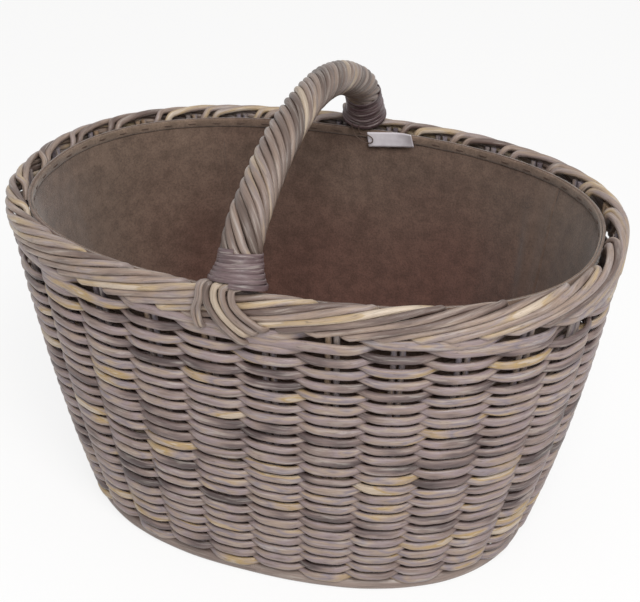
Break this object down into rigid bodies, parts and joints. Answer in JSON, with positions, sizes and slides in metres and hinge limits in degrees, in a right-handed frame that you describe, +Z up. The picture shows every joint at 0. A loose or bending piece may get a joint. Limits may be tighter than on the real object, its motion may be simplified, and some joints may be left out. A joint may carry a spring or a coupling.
{
  "type": "lined oval basket",
  "caption": "Deep oval woven cane basket with a felt lining, a rolled border and a fixed twisted bow handle across its short axis.",
  "frame": {"origin": "middle of the footprint, on the surface that the foot ring stands on", "axes": "+Z up; X along the oval's long axis; the handle's bow stands in the YZ plane"},
  "size_m": [0.4708, 0.3268, 0.3543],
  "materials": {
    "foot_cane": "peeled grey-washed cane, smooth and matt",
    "base_cane": "grey-washed cane, matt",
    "stake_cane": "bluish grey washed rods, matt",
    "wall_cane": "grey-washed split cane with tan and mauve strands, matt",
    "border_cane": "grey-washed cane rods, matt",
    "core_cane": "plain thick cane",
    "handle_cane": "pale grey split cane, faint sheen",
    "binding_peel": "mauve grey cane peel, faint sheen",
    "lining_felt": "brown needle felt",
    "hem_felt": "folded brown felt edge",
    "sewing_thread": "dark polyester thread",
    "tag_paper": "off-white card, blank"
  },
  "bodies": {
    "root": {"back_binding": "binding_peel", "back_tails": "handle_cane", "base_sticks": "base_cane", "base_weavers": "base_cane", "border_rods": "border_cane", "foot_ring": "foot_cane", "front_binding": "binding_peel", "front_tails": "handle_cane", "handle_core": "core_cane", "handle_strand_1": "handle_cane", "handle_strand_10": "handle_cane", "handle_strand_2": "handle_cane", "handle_strand_3": "handle_cane", "handle_strand_4": "handle_cane", "handle_strand_5": "handle_cane", "handle_strand_6": "handle_cane", "handle_strand_7": "handle_cane", "handle_strand_8": "handle_cane", "handle_strand_9": "handle_cane", "hem_stitches": "sewing_thread", "lining_floor": "lining_felt", "lining_hem": "hem_felt", "lining_wall": "lining_felt", "stakes": "stake_cane", "tag_card": "tag_paper", "tag_thread": "sewing_thread", "upper_wale": "wall_cane", "weave_round_01": "wall_cane", "weave_round_02": "wall_cane", "weave_round_03": "wall_cane", "weave_round_04": "wall_cane", "weave_round_05": "wall_cane", "weave_round_06": "wall_cane", "weave_round_07": "wall_cane", "weave_round_08": "wall_cane", "weave_round_09": "wall_cane", "weave_round_10": "wall_cane", "weave_round_11": "wall_cane", "weave_round_12": "wall_cane", "weave_round_13": "wall_cane", "weave_round_14": "wall_cane", "weave_round_15": "wall_cane", "weave_round_16": "wall_cane", "weave_round_17": "wall_cane", "weave_round_18": "wall_cane", "weave_round_19": "wall_cane", "weave_round_20": "wall_cane", "weave_round_21": "wall_cane", "weave_round_22": "wall_cane", "weave_round_23": "wall_cane"}
  },
  "joints": []
}
